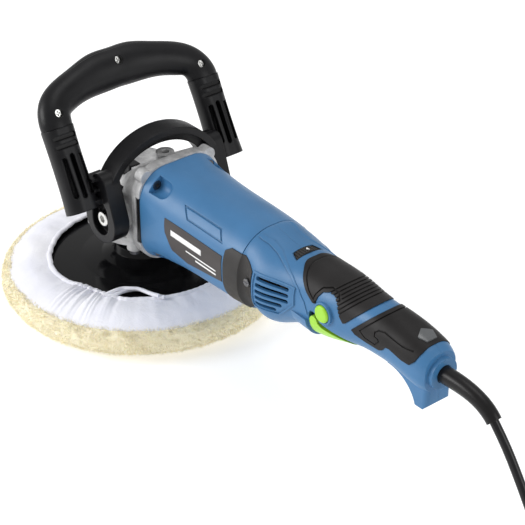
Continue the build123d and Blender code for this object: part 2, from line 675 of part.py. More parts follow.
def speed_dial():
    wheel = rod_x(DIAL_R, DIAL_X - DIAL_W / 2, DIAL_X + DIAL_W / 2, z=DIAL_Z)
    for i in range(60):
        notch = Rot(0, 0, 6.0 * i) * (Pos(DIAL_R, 0, 0) * Box(1.2, 0.8, DIAL_W, align=UP))
        wheel -= Plane(origin=(DIAL_X - DIAL_W / 2, 0, DIAL_Z), x_dir=(0, 1, 0), z_dir=(1, 0, 0)) * notch
    return wheel - rod_x(2.0 + FIT, 170.0, 190.0, z=DIAL_Z)


def speed_board():
    board = box(186.0, 203.0, -13.0, 13.0, 99.1, 100.7)
    pot = box(186.0, 193.0, -6.0, 6.0, 91.5, 99.1)
    shaft = rod_x(2.0, 172.0, 186.4, z=DIAL_Z)
    capacitor = box(246.0, 266.0, -6.5, 6.5, 90.0, 101.0)
    return group([board + pot + shaft, capacitor])


def cord_clamp():
    return box(268.0, 278.0, -6.0, 6.0, 82.0, 85.0)


# ---- loop handle ----

LEAN = radians(LOOP_LEAN)
LOOP_PLANE = Plane(
    origin=(LOOP_N * cos(LEAN), 0, LOOP_N * sin(LEAN)), x_dir=(0, 1, 0), z_dir=(cos(LEAN), 0, sin(LEAN)))
SEAM_U = 134.0           # the grip bar meets the legs, measured up the leaning plane
# grip bar: y, height up the plane, depth behind it, half size in the plane, half size across it, heading
BAR_FORM = [
    (62.4, SEAM_U, 0.0, 11.6, 8.9, 90.0),
    (61.4, 140.5, -1.0, 11.8, 9.2, 100.0),
    (55.4, 148.6, -4.0, 12.0, 9.8, 133.0),
    (44.6, 153.8, -6.0, 12.2, 10.0, 158.0),
    (24.0, 158.8, -8.5, 13.6, 10.6, 172.0),
    (0.0, 160.4, -9.2, 14.4, 11.0, 180.0),
]
LEG_FORM = [
    (62.4, SEAM_U, 11.6, 8.9),
    (62.6, 118.0, 11.2, 9.0),
    (62.6, 100.0, 11.2, 9.4),
    (62.6, 75.0, 12.2, 10.0),
]
BAR_WALL = 3.0
BAR_SPLIT = -4.6         # depth of the joint between the rear and front halves of the bar
# grip screws: y, height up the plane, depth of the head's top
BAR_SCREWS = [(-60.9, 143.6, 5.0), (0.0, 164.6, -2.0), (60.9, 143.6, 5.0)]


def bar_section(station, shrink):
    y, up, depth, half_in, half_out, heading = station
    centre = LOOP_PLANE.from_local_coords(Vector(y, up, depth))
    ahead = Vector(y + cos(radians(heading)), up + sin(radians(heading)), depth)
    along = LOOP_PLANE.from_local_coords(ahead) - centre
    plane = Plane(origin=centre, x_dir=LOOP_PLANE.z_dir, z_dir=along)
    return plane * Ellipse(half_out - shrink, half_in - shrink)


def bar(shrink=0.0):
    """Grip bar from seam to seam."""
    stations = list(BAR_FORM)
    for y, up, depth, half_in, half_out, heading in reversed(BAR_FORM[:-1]):
        stations.append((-y, up, depth, half_in, half_out, 360.0 - heading))
    return loft([bar_section(s, shrink) for s in stations])


def across(u0, u1, y0=-90.0, y1=90.0, n0=-30.0, n1=30.0):
    """Box in the loop's own plane: y, height up the plane, depth across it."""
    return LOOP_PLANE * (Pos(y0, u0, n0) * Box(y1 - y0, u1 - u0, n1 - n0, align=(Align.MIN,) * 3))


def at_screw(screw, piece):
    """Place a piece built on Z at a grip screw, Z pointing out of the rear face."""
    y, up, depth = screw
    return LOOP_PLANE * (Pos(y, up, depth) * piece)


def grip_shell(side):
    """Rear (side +1) or front (side -1) half of the grip bar."""
    solid = bar() - bar(BAR_WALL)
    for screw in BAR_SCREWS:
        solid += bar(0.4) & at_screw(screw, Cylinder(5.8, 60.0))
    half = across(100, 190, n0=BAR_SPLIT) if side > 0 else across(100, 190, n1=BAR_SPLIT)
    solid &= half
    for screw in BAR_SCREWS:
        solid -= at_screw(screw, Cylinder(1.8, 60.0))
        if side > 0:
            solid -= at_screw(screw, Pos(0, 0, -2.0) * Cylinder(3.1, 30.0, align=UP))
    return solid


def grip_screws():
    screws = []
    for screw in BAR_SCREWS:
        piece = Pos(0, 0, -2.0) * Cylinder(2.8, 2.0, align=UP)
        piece += Pos(0, 0, -11.0) * Cylinder(1.8, 9.2, align=UP)
        for slot in (Box(0.9, 3.6, 1.2, align=UP), Box(3.6, 0.9, 1.2, align=UP)):
            piece -= Pos(0, 0, -1.0) * slot
        screws.append(at_screw(screw, piece))
    return group(screws)


def leg_section(station, shrink=0.0):
    y, up, half_in, half_out = station
    plane = Plane(origin=LOOP_PLANE.from_local_coords(Vector(y, up, 0)), x_dir=(0, 1, 0),
                  z_dir=LOOP_PLANE.y_dir)
    corner = min(half_in, half_out) - shrink - 0.8
    return plane * RectangleRounded(2 * (half_in - shrink), 2 * (half_out - shrink), corner)


def rounded_slot(up, y, length, width, turn):
    """Slot with round ends, cut into the rear face of the right leg."""
    place = LOOP_PLANE * (Pos(y, up, 5.2) * Rot(0, 0, turn))
    return extrude(place * SlotOverall(length, width), amount=20.0)


def leg():
    """Right leg: hollow from below, with cross slots and long grooves in its rear face."""
    solid = loft([leg_section(s) for s in LEG_FORM])
    for up in (121.6, 127.6):
        solid -= rounded_slot(up, 62.6, 18.0, 3.4, 0.0)
    for i in (-1, 0, 1):
        solid -= rounded_slot(99.6, 62.6 + 6.2 * i, 32.0 - 3.0 * abs(i), 3.6, 90.0)
    return solid


def leg_cavity():
    return loft([leg_section(s, 3.4) for s in LEG_FORM[1:]])


ARCH_X = (15.0, 31.0)    # front and rear faces of the arch
ARCH_Z = 97.0            # where the arch springs from the ears


def arch():
    """Hoop over the gear housing, from ear to ear."""
    plane = Plane(origin=(ARCH_X[0], 0, ARCH_Z), x_dir=(0, 1, 0), z_dir=(1, 0, 0))
    band = extrude(plane * Ellipse(49.0, 42.8), amount=ARCH_X[1] - ARCH_X[0])
    band -= extrude(plane * Ellipse(38.8, 31.0), amount=ARCH_X[1] - ARCH_X[0])
    recess = Plane(origin=(ARCH_X[1] - 6.0, 0, ARCH_Z), x_dir=(0, 1, 0), z_dir=(1, 0, 0))
    band -= extrude(recess * Ellipse(44.0, 37.4), amount=6.0) & box(20, 40, -50, 50, ARCH_Z + 12.0, 150)
    return band & box(0, 40, -60, 60, ARCH_Z, 150)


def ear():
    """Right ear: a plate beside the gear housing that hangs on the pivot bolt."""
    plane = Plane(origin=(0, EAR_IN, 0), x_dir=(1, 0, 0), z_dir=(0, -1, 0))
    low = Pos(PIVOT_X, PIVOT_Z) * Circle(17.0)
    high = Pos(23.0, 112.0) * Circle(8.0)
    outline = make_hull(low.edges() + high.edges())
    return extrude(plane * outline, amount=EAR_OUT - EAR_IN, dir=(0, 1, 0))


def ear_recess():
    """Oval recess round the bolt head, and the bolt's running hole."""
    plane = Plane(origin=(0, EAR_OUT - 5.6, 0), x_dir=(1, 0, 0), z_dir=(0, -1, 0))
    slot = Pos(PIVOT_X, PIVOT_Z + 2.0) * Rot(0, 0, 90) * SlotOverall(27.0, 18.4)
    recess = extrude(plane * slot, amount=20.0, dir=(0, 1, 0))
    return recess + rod_y(4.0 + FIT, EAR_IN - 1, EAR_OUT + 1, x=PIVOT_X, z=PIVOT_Z)


def webs():
    """Right side: the deep web at the leg's foot and two thin ribs above it."""
    foot = side_prism([(9.0, 89.0), (29.0, 89.0), (27.0, 103.0), (9.0, 103.0)], 46.0, 58.0)
    ribs = side_prism([(14.0, 107.4), (24.0, 107.4), (24.0, 109.4), (14.0, 109.4)], 43.0, 55.0)
    ribs += side_prism([(12.0, 114.4), (22.0, 114.4), (22.0, 116.4), (12.0, 116.4)], 42.0, 55.0)
    return foot + ribs


def loop_bracket():
    side = leg() + ear() + webs() - leg_cavity() - ear_recess()
    return arch() + side + mirror(side, Plane.XZ)


def pivot_bolts():
    shank = rod_y(4.0, 29.0, EAR_OUT - 5.3, x=PIVOT_X, z=PIVOT_Z)
    head = rod_y(5.6, EAR_OUT - 5.3, EAR_OUT - 1.6, x=PIVOT_X, z=PIVOT_Z)
    head = fillet(head.edges().group_by(Axis.Y)[-1], 1.0)
    hexagon = Plane(origin=(PIVOT_X, EAR_OUT - 3.6, PIVOT_Z), x_dir=(1, 0, 0), z_dir=(0, 1, 0))
    head -= extrude(hexagon * RegularPolygon(2.9, 6), amount=4.0)
    return group(both_sides(shank + head))


# ---- cord ----

CORD_R = CORD_D / 2
SLEEVE_Z = 87.4
SLEEVE_R = 5.7
SLEEVE_MOUTH = 7.0       # depth of the open end that the cord comes out of
# strain relief: x, z, radius, heading below the horizontal
SLEEVE_FORM = [
    (299.0, SLEEVE_Z, SLEEVE_R, 0.0),
    (312.0, SLEEVE_Z, SLEEVE_R, 0.0),
    (328.0, 86.8, 5.4, 7.0),
    (341.0, 83.4, 5.1, 27.0),
    (350.6, 76.6, 4.9, 44.0),
]
# the cord's route from the strain relief to the coil, then from the coil to the plug
LEAD_ROUTE = [(345.565, 0.0, 81.463), (358.155, 0.0, 69.304), (374.2, 1.0, 44.5), (392.0, 0.4, 17.6),
              (416.6, 3.0, 3.1), (446.04, 11.93, 3.1)]
TAIL_ROUTE = [(438.14, 102.19, 9.2), (414.0, 112.4, 11.6), (393.0, 124.5, 12.5), (370.0, 124.5, 12.5)]
COIL_CENTRE = (430.0, 56.0)
COIL_TURNS_R = (22.5, 28.6, 34.7, 40.8, 46.9)
COIL_LAYERS = 2
COIL_PITCH = 6.1


def heading_plane(x, y, z, drop, swing=0.0):
    """Plane square to a heading: drop below the horizontal, swing round from +X, in degrees."""
    flat = cos(radians(drop))
    along = (flat * cos(radians(swing)), flat * sin(radians(swing)), -sin(radians(drop)))
    return Plane(origin=(x, y, z), x_dir=(-sin(radians(swing)), cos(radians(swing)), 0), z_dir=along)


def strain_relief():
    """Tapered rubber sleeve that droops with the cord; its end is an open mouth."""
    sleeve = loft([heading_plane(x, 0, z, drop) * Circle(r) for x, z, r, drop in SLEEVE_FORM])
    x, z, radius, drop = SLEEVE_FORM[-1]
    mouth = heading_plane(x, 0, z, drop) * Pos(0, 0, -SLEEVE_MOUTH) * Cylinder(CORD_R + 0.9, 12.0, align=UP)
    return sleeve - mouth


def tangent_radii(points):
    """Radius of each arc: 0.45 of the shorter run over the tangent of half the turn."""
    radii = []
    for before, here, after in zip(points, points[1:], points[2:]):
        run_in = Vector(*here) - Vector(*before)
        run_out = Vector(*after) - Vector(*here)
        turn = radians(run_in.get_angle(run_out))
        radii.append(0.45 * min(run_in.length, run_out.length) / tan(turn / 2))
    return radii


def tube(points, radius, label):
    """Round tube along straight runs joined by tangent arcs."""
    radii = tangent_radii(points)
    path = FilletPolyline(*points, radius=radii)
    solid = sweep(Plane(origin=path @ 0, z_dir=path % 0) * Circle(radius), path=path)
    print(label, "length", round(path.length, 1), "radii", [round(r, 1) for r in radii],
          "volume", round(solid.volume, 1), "of", round(pi * radius ** 2 * path.length, 1))
    return solid


def cord_coil(lead, tail):
    """Outer form of the coil; the lead runs into it and the tail out of it."""
    x, y = COIL_CENTRE
    outer = COIL_TURNS_R[-1] + COIL_PITCH / 2
    inner = COIL_TURNS_R[0] - COIL_PITCH / 2
    height = COIL_LAYERS * COIL_PITCH
    ring = rod_z(outer, 0.05, height, x=x, y=y) - rod_z(inner, 0.0, height, x=x, y=y)
    return ring - lead - tail


PLUG_FORM = [            # distance from the cord's end, half width, half height
    (0.0, 5.0, 5.0), (10.0, 5.8, 5.8), (20.0, 10.0, 9.0), (31.0, 16.6, 12.0), (46.0, 17.4, 12.4),
]
PLUG_SWING = 180.0
PLUG_Z = 12.5


def plug_place():
    x, y, z = TAIL_ROUTE[-1]
    return heading_plane(x, y, PLUG_Z, 0.0, PLUG_SWING)


def plug_body():
    plane = plug_place()
    return loft([plane.offset(d) * Ellipse(w, h) for d, w, h in PLUG_FORM])


def plug_pins():
    """Two round contact pins, set 19 mm apart in the plug's face."""
    plane = plug_place().offset(PLUG_FORM[-1][0])
    return group([plane * Pos(9.5 * side, 0, 0) * Cylinder(2.4, 19.0, align=UP) for side in (-1, 1)])


if __name__ == "__main__":
    save("backing_plate", backing_plate())
    save("plate_insert", plate_insert())
    save("backing_foam", backing_foam())
    save("bonnet_skirt", bonnet_skirt())
    save("drawstring", drawstring())
    save("wool_pile", wool_pile())
    save("spindle", spindle())
    save("bevel_gear", bevel_gear())
    save("gear_housing", gear_housing())
    save("bearing_cover", bearing_cover())
    save("dust_ring", dust_ring())
    save("lower_bearing", lower_bearing())
    save("upper_bush", upper_bush())
    save("lock_button", lock_button())
    save("lock_spring", lock_spring())
    save("bearing_plate", bearing_plate())
    save("front_bearing", along_x(ball_bearing(6.0, 16.0, 10.0), 36.0))
    save("housing_screws", housing_screws())
    save("motor_housing", motor_housing())
    save("label_plates", label_plates())
    save("brush_cover_left", brush_cover())
    save("brush_cover_right", mirror(brush_cover(), Plane.XZ))
    save("brush_cover_screws", group(both_sides(cover_screw())))
    save("fan_baffle", fan_baffle())
    save("stator_core", stator_core())
    save("field_windings", field_windings())
    save("rear_bearing_bracket", rear_bearing_bracket())
    save("rear_bearing", along_x(ball_bearing(4.5, 11.0, 7.0), 160.2))
    save("brush_holders", brush_holders())
    save("carbon_brushes", carbon_brushes())
    save("rotor_shaft", rotor_shaft())
    save("pinion", pinion())
    save("cooling_fan", cooling_fan())
    save("armature_core", armature_core())
    save("armature_windings", armature_windings())
    save("commutator", commutator())
    save("handle_shell_left", handle_shell(-1))
    save("handle_shell_right", handle_shell(1))
    save("shell_screws", shell_screws())
    save("front_grip", front_grip())
    save("rear_grip", rear_grip())
    save("badge", badge())
    save("trigger", trigger())
    save("lock_on_button", lock_on_button())
    save("switch_body", switch_body())
    save("speed_dial", speed_dial())
    save("speed_board", speed_board())
    save("cord_clamp", cord_clamp())
    save("loop_bracket", loop_bracket())
    save("grip_shell_rear", grip_shell(1))
    save("grip_shell_front", grip_shell(-1))
    save("grip_screws", grip_screws())
    save("pivot_bolts", pivot_bolts())
    save("strain_relief", strain_relief())
    lead = tube(LEAD_ROUTE, CORD_R, "cord lead")
    tail = tube(TAIL_ROUTE, CORD_R, "cord tail")
    save("cord_lead", lead)
    save("cord_coil", cord_coil(lead, tail))
    save("cord_tail", tail)
    save("plug_body", plug_body())
    save("plug_pins", plug_pins())
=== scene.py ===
"""Rotary polisher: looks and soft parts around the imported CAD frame. Metres, +Z up."""

import json
import random
from math import cos, degrees, pi, radians, sin, tau

import bmesh
import bpy
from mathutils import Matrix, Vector, noise


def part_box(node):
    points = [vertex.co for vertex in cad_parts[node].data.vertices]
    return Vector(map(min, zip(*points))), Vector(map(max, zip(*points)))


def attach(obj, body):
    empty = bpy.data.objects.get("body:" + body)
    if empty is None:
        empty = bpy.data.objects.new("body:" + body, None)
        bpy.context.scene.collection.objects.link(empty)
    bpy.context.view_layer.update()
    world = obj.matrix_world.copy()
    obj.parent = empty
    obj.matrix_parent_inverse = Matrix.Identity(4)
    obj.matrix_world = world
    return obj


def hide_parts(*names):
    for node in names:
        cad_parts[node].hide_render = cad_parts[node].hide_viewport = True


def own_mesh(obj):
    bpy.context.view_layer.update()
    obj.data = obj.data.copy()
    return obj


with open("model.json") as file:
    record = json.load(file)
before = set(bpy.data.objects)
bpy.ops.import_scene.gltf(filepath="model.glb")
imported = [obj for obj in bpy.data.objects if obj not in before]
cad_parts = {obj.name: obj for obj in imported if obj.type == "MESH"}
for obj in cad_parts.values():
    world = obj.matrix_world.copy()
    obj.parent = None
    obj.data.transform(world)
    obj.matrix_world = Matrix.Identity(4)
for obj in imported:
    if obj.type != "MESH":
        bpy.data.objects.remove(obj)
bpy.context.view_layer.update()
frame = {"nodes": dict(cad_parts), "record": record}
NODES = frame["nodes"]
MM = 0.001

# camera: where it looks, how far off it stands, its azimuth and elevation in degrees, its lens in millimetres
TARGET = Vector((0.12272, 0.01155, 0.07298))
DISTANCE = 1.2142
AZIMUTH = 50.51
ELEVATION = 31.72
LENS = 123.43
SENSOR = 36.0

# cord; the coil's angles are in degrees round its centre
CORD_D = 0.0060
SLEEVE_MOUTH = (0.345565, 0.0, 0.081463)    # where the cord leaves the strain relief
LEAD = [SLEEVE_MOUTH, (0.358155, 0.0, 0.069304), (0.3742, 0.001, 0.0445), (0.392, 0.0004, 0.0176),
        (0.4166, 0.003, 0.0031), (0.44604, 0.01193, 0.0031)]
TAIL = [(0.43814, 0.10219, 0.0092), (0.414, 0.1124, 0.0116), (0.393, 0.1245, 0.0125), (0.370, 0.1245, 0.0125)]
COIL_CENTRE = (0.430, 0.056)
COIL_RADII = (0.0469, 0.0408, 0.0347, 0.0286, 0.0225)
COIL_LOW = 0.0031
COIL_HIGH = 0.0092
COIL_START = -70.0
COIL_END = 80.0
COIL_STEP = 15.0
CROSSING = 0.3           # share of a turn in which the cord moves over to the next ring

# bonnet
PLATE_R = 0.090
PLATE_RIM_Z = 0.0215     # support of the cotton beyond the plate's edge
PLATE_INNER = (0.066, 0.0270)       # radius and height of the plate's top face, inside and at its edge
PLATE_OUTER = (PLATE_R, 0.0246)
HEM_R = 0.0680
HEM_Z = 0.0300
HEM_SIDES = 12
HEM_HALF_WIDTH = 0.0019
HEM_HALF_HEIGHT = 0.0014
EDGE_R = 0.0975          # where the cotton is sewn to the wool
EDGE_Z = 0.0226
COTTON_THICK = 0.0007
COTTON_ROWS = 34         # from the wool's edge to the hem
AROUND = 900             # points round the spindle, cotton and hem
TUCK_R = 0.975           # the strip's hidden edge: share of the radius, and how far down
TUCK_Z = 0.0040
PILE_AROUND = 720        # points round the spindle, wool
PILE_FORM = [(0.000, 0.0006), (0.060, 0.0004), (0.086, 0.0006), (0.0960, 0.0036), (0.1012, 0.0092),
             (0.1026, 0.0150), (0.1010, 0.0200), (0.0972, 0.0232), (0.0930, 0.0226)]
RUFFLE_FROM = -86.0      # the gathered stretch of the hem, degrees round the spindle
RUFFLE_TO = -50.0
FIBRES = 34000
FIBRE_SEED = 7
FIBRE_LENGTH = (0.0018, 0.0038)
FIBRE_WIDTH = (0.00012, 0.00022)    # half the width at the root
STRING_D = 0.0028


# ---------------------------------------------------------------- materials

def node_tree(name):
    material = bpy.data.materials.new(name)
    material.use_nodes = True
    tree = material.node_tree
    return material, tree, tree.nodes["Principled BSDF"]


def add(tree, kind, **settings):
    made = tree.nodes.new(kind)
    for key, value in settings.items():
        setattr(made, key, value)
    return made


def place(tree):
    """Object coordinates in metres."""
    return add(tree, "ShaderNodeTexCoord").outputs["Object"]


def noise_of(tree, vector, scale, detail=3.0, roughness=0.55, distortion=0.0):
    made = add(tree, "ShaderNodeTexNoise")
    made.inputs["Scale"].default_value = scale
    made.inputs["Detail"].default_value = detail
    made.inputs["Roughness"].default_value = roughness
    made.inputs["Distortion"].default_value = distortion
    tree.links.new(vector, made.inputs["Vector"])
    return made.outputs["Fac"]


def ramp(tree, value, low, high, start=0.3, end=0.7):
    made = add(tree, "ShaderNodeValToRGB")
    made.color_ramp.elements[0].position = start
    made.color_ramp.elements[0].color = (*low, 1.0)
    made.color_ramp.elements[1].position = end
    made.color_ramp.elements[1].color = (*high, 1.0)
    tree.links.new(value, made.inputs["Fac"])
    return made.outputs["Color"]


def spread(tree, value, low, high):
    made = add(tree, "ShaderNodeMapRange")
    made.inputs["To Min"].default_value = low
    made.inputs["To Max"].default_value = high
    tree.links.new(value, made.inputs["Value"])
    return made.outputs["Result"]


def bump(tree, height, distance, strength=1.0, under=None):
    made = add(tree, "ShaderNodeBump")
    made.inputs["Strength"].default_value = strength
    made.inputs["Distance"].default_value = distance
    tree.links.new(height, made.inputs["Height"])
    if under is not None:
        tree.links.new(under, made.inputs["Normal"])
    return made.outputs["Normal"]


def round_edges(tree, radius):
    made = add(tree, "ShaderNodeBevel", samples=6)
    made.inputs["Radius"].default_value = radius
    return made.outputs["Normal"]


MOTTLE = 40.0            # scale of the soft patches in a moulded surface


def moulded(name, base, rough, grain, grain_scale, edge, shade, coat=0.0, metallic=0.0, specular=0.5):
    """Moulded surface: fine grain, soft mottling in tone and gloss, rounded edges."""
    material, tree, shader = node_tree(name)
    vector = place(tree)
    dark = tuple(c * (1.0 - shade) for c in base)
    light = tuple(min(1.0, c * (1.0 + shade) + 0.004) for c in base)
    colour = ramp(tree, noise_of(tree, vector, MOTTLE, 4.0), dark, light)
    tree.links.new(colour, shader.inputs["Base Color"])
    patches = noise_of(tree, vector, MOTTLE * 3.1, 5.0, 0.6)
    tree.links.new(spread(tree, patches, rough * 0.82, min(1.0, rough * 1.18)), shader.inputs["Roughness"])
    normal = round_edges(tree, edge) if edge else None
    fine = noise_of(tree, vector, grain_scale, 2.0, 0.6)
    tree.links.new(bump(tree, fine, grain, 0.8, normal), shader.inputs["Normal"])
    shader.inputs["Metallic"].default_value = metallic
    shader.inputs["Coat Weight"].default_value = coat
    shader.inputs["Coat Roughness"].default_value = 0.2
    shader.inputs["Specular IOR Level"].default_value = specular
    return material


def cast_metal(name):
    """Sand-blasted cast aluminium: pitted skin, uneven tone."""
    material, tree, shader = node_tree(name)
    vector = place(tree)
    tone = ramp(tree, noise_of(tree, vector, 90.0, 6.0, 0.65), (0.34, 0.34, 0.345), (0.72, 0.72, 0.72))
    tree.links.new(tone, shader.inputs["Base Color"])
    shader.inputs["Metallic"].default_value = 0.75
    rough = noise_of(tree, vector, 300.0, 5.0, 0.7)
    tree.links.new(spread(tree, rough, 0.38, 0.62), shader.inputs["Roughness"])
    coarse = bump(tree, noise_of(tree, vector, 620.0, 6.0, 0.75), 0.0007, 0.8, round_edges(tree, 0.0007))
    fine = bump(tree, noise_of(tree, vector, 1900.0, 3.0, 0.7), 0.0003, 0.8, coarse)
    tree.links.new(fine, shader.inputs["Normal"])
    return material


def turned_metal(name, base, rough, rings=260.0):
    """Machined metal: fine tool marks in bands along X."""
    material, tree, shader = node_tree(name)
    vector = place(tree)
    tone = ramp(tree, noise_of(tree, vector, 140.0, 4.0), tuple(c * 0.82 for c in base), base)
    tree.links.new(tone, shader.inputs["Base Color"])
    shader.inputs["Metallic"].default_value = 1.0
    shader.inputs["Roughness"].default_value = rough
    wave = add(tree, "ShaderNodeTexWave", bands_direction="X")
    wave.inputs["Scale"].default_value = rings
    wave.inputs["Distortion"].default_value = 1.5
    tree.links.new(vector, wave.inputs["Vector"])
    tree.links.new(bump(tree, wave.outputs["Fac"], 0.00003, 0.6, round_edges(tree, 0.0003)),
                   shader.inputs["Normal"])
    return material


def cotton(name):
    """White woven cotton: crossed threads, soft creases, light sheen."""
    material, tree, shader = node_tree(name)
    vector = place(tree)
    tone = ramp(tree, noise_of(tree, vector, 26.0, 5.0), (0.80, 0.81, 0.90), (0.90, 0.90, 0.95))
    tree.links.new(tone, shader.inputs["Base Color"])
    shader.inputs["Roughness"].default_value = 0.92
    shader.inputs["Sheen Weight"].default_value = 0.35
    shader.inputs["Sheen Roughness"].default_value = 0.45
    shader.inputs["Subsurface Weight"].default_value = 0.12
    shader.inputs["Subsurface Radius"].default_value = (0.004, 0.004, 0.004)
    creases = bump(tree, noise_of(tree, vector, 75.0, 4.0, 0.6, 1.2), 0.0011, 0.5)
    for axis in ("X", "Y"):
        threads = add(tree, "ShaderNodeTexWave", bands_direction=axis)
        threads.inputs["Scale"].default_value = 420.0
        threads.inputs["Distortion"].default_value = 0.6
        tree.links.new(vector, threads.inputs["Vector"])
        creases = bump(tree, threads.outputs["Fac"], 0.00006, 0.6, creases)
    tree.links.new(creases, shader.inputs["Normal"])
    return material


def wool(name, light, dark):
    """Deep pile: tufted tone, soft sheen."""
    material, tree, shader = node_tree(name)
    vector = place(tree)
    tufts = noise_of(tree, vector, 150.0, 6.0, 0.7, 0.8)
    tree.links.new(ramp(tree, tufts, dark, light, 0.30, 0.60), shader.inputs["Base Color"])
    shader.inputs["Roughness"].default_value = 1.0
    shader.inputs["Sheen Weight"].default_value = 0.25
    shader.inputs["Sheen Roughness"].default_value = 0.5
    shader.inputs["Subsurface Weight"].default_value = 0.2
    shader.inputs["Subsurface Radius"].default_value = (0.006, 0.005, 0.003)
    shader.inputs["Specular IOR Level"].default_value = 0.15
    curls = bump(tree, tufts, 0.0009, 0.5)
    fibres = noise_of(tree, vector, 1500.0, 3.0, 0.8)
    tree.links.new(bump(tree, fibres, 0.0005, 0.8, curls), shader.inputs["Normal"])
    return material


def polished_plate(name):
    """Black polished plastic with faint circular scuffs round the spindle."""
    material, tree, shader = node_tree(name)
    vector = place(tree)
    spots = noise_of(tree, vector, 60.0, 6.0, 0.6)
    tone = ramp(tree, spots, (0.0022, 0.0022, 0.0026), (0.0040, 0.0040, 0.0046))
    tree.links.new(tone, shader.inputs["Base Color"])
    tree.links.new(spread(tree, spots, 0.11, 0.16), shader.inputs["Roughness"])
    shader.inputs["Specular IOR Level"].default_value = 0.18
    rings = add(tree, "ShaderNodeTexWave", wave_type="RINGS", rings_direction="Z")
    rings.inputs["Scale"].default_value = 160.0
    rings.inputs["Distortion"].default_value = 2.0
    tree.links.new(vector, rings.inputs["Vector"])
    tree.links.new(bump(tree, rings.outputs["Fac"], 0.00002, 0.5, round_edges(tree, 0.0005)),
                   shader.inputs["Normal"])
    return material


def floor_surface(name):
    """Matt white floor with a little light of its own, so that it stays near white."""
    material, tree, shader = node_tree(name)
    vector = place(tree)
    tone = ramp(tree, noise_of(tree, vector, 3.0, 3.0), (0.90, 0.90, 0.905), (0.92, 0.92, 0.92))
    tree.links.new(tone, shader.inputs["Base Color"])
    shader.inputs["Roughness"].default_value = 0.9
    shader.inputs["Specular IOR Level"].default_value = 0.1
    shader.inputs["Emission Color"].default_value = (1.0, 1.0, 1.0, 1.0)
    shader.inputs["Emission Strength"].default_value = 0.30
    return material


# moulded: name, base colour, roughness, grain depth and scale, edge rounding, shade
LOOKS = {
    "blue_plastic": moulded("blue_satin", (0.044, 0.160, 0.335), 0.38, 0.00005, 2600.0, 0.0007, 0.05,
                            specular=0.4),
    "black_nylon": moulded("black_nylon", (0.0034, 0.0034, 0.0044), 0.36, 0.00010, 1700.0, 0.0012, 0.2,
                           specular=0.23),
    "soft_rubber": moulded("soft_rubber", (0.0095, 0.0082, 0.0082), 0.50, 0.00006, 1500.0, 0.0005, 0.2,
                           specular=0.24),
    "gloss_rubber": moulded("gloss_rubber", (0.0045, 0.0040, 0.0042), 0.32, 0.00004, 1500.0, 0.0005, 0.2,
                            specular=0.24),
    "cord_rubber": moulded("cord_rubber", (0.0030, 0.0030, 0.0038), 0.20, 0.00003, 1400.0, 0.0005, 0.25,
                           specular=0.3),
    "dark_plastic": moulded("dark_plastic", (0.026, 0.024, 0.023), 0.52, 0.00008, 1700.0, 0.0006, 0.12,
                            specular=0.3),
    "label_brown": moulded("label_satin", (0.040, 0.034, 0.033), 0.34, 0.00002, 2600.0, 0.0003, 0.08,
                           specular=0.35),
    "lime_plastic": moulded("lime_plastic", (0.33, 0.66, 0.028), 0.34, 0.00004, 2200.0, 0.0006, 0.06),
    "badge_grey": moulded("badge_lacquer", (0.085, 0.090, 0.095), 0.28, 0.00002, 2600.0, 0.0003, 0.06,
                          coat=0.4),
    "white_print": moulded("white_print", (0.80, 0.80, 0.80), 0.5, 0.00001, 2600.0, 0.0, 0.04),
    "copper": moulded("enamelled_copper", (0.52, 0.16, 0.05), 0.4, 0.0002, 900.0, 0.0004, 0.2, metallic=0.7),
    "carbon": moulded("pressed_carbon", (0.03, 0.03, 0.03), 0.7, 0.0001, 900.0, 0.0003, 0.2),
    "pad_foam": moulded("pad_foam", (0.20, 0.20, 0.21), 0.95, 0.0004, 700.0, 0.0006, 0.2),
    "board_green": moulded("board_green", (0.02, 0.16, 0.06), 0.4, 0.0001, 600.0, 0.0002, 0.2),
    "cast_aluminium": cast_metal("cast_aluminium"),
    "zinc_steel": turned_metal("zinc_steel", (0.74, 0.74, 0.72), 0.26),
    "bearing_steel": turned_metal("bearing_steel", (0.60, 0.61, 0.62), 0.2),
    "gear_steel": turned_metal("gear_steel", (0.30, 0.30, 0.31), 0.36),
    "blackened_steel": turned_metal("blackened_steel", (0.16, 0.16, 0.17), 0.34),
    "bronze": turned_metal("bronze", (0.66, 0.43, 0.20), 0.4),
    "laminated_iron": turned_metal("laminated_iron", (0.20, 0.20, 0.21), 0.5, 600.0),
    "plate_plastic": polished_plate("polished_plate"),
    "white_cotton": cotton("white_cotton"),
    "cream_wool": wool("cream_wool", (0.985, 0.915, 0.70), (0.97, 0.885, 0.65)),
}

# nodes whose finish differs from the rest of their slot
SPECIAL_LOOKS = {
    "housing_screws": "blackened_steel",
    "brush_cover_screws": "blackened_steel",
    "strain_relief": "gloss_rubber",
}


def dress_frame():
    """Every CAD node gets the finish of its slot, or its own."""
    for part in frame["record"]["subparts"]:
        obj = NODES[part["node"]]
        look = SPECIAL_LOOKS.get(part["node"], part["material_slot"])
        obj.data.materials.clear()
        obj.data.materials.append(LOOKS[look])
        for polygon in obj.data.polygons:
            polygon.material_index = 0


def mesh_piece(name, points, faces, look):
    """A smooth-shaded mesh object with one of the looks."""
    mesh = bpy.data.meshes.new(name)
    mesh.from_pydata([tuple(p) for p in points], [], faces)
    mesh.validate()
    mesh.polygons.foreach_set("use_smooth", [True] * len(mesh.polygons))
    obj = bpy.data.objects.new(name, mesh)
    bpy.context.scene.collection.objects.link(obj)
    mesh.materials.append(LOOKS[look])
    return obj


def apply_modifiers(obj):
    """Bake the modifiers of a piece into its mesh."""
    depsgraph = bpy.context.evaluated_depsgraph_get()
    mesh = bpy.data.meshes.new_from_object(obj.evaluated_get(depsgraph))
    obj.modifiers.clear()
    obj.data = mesh


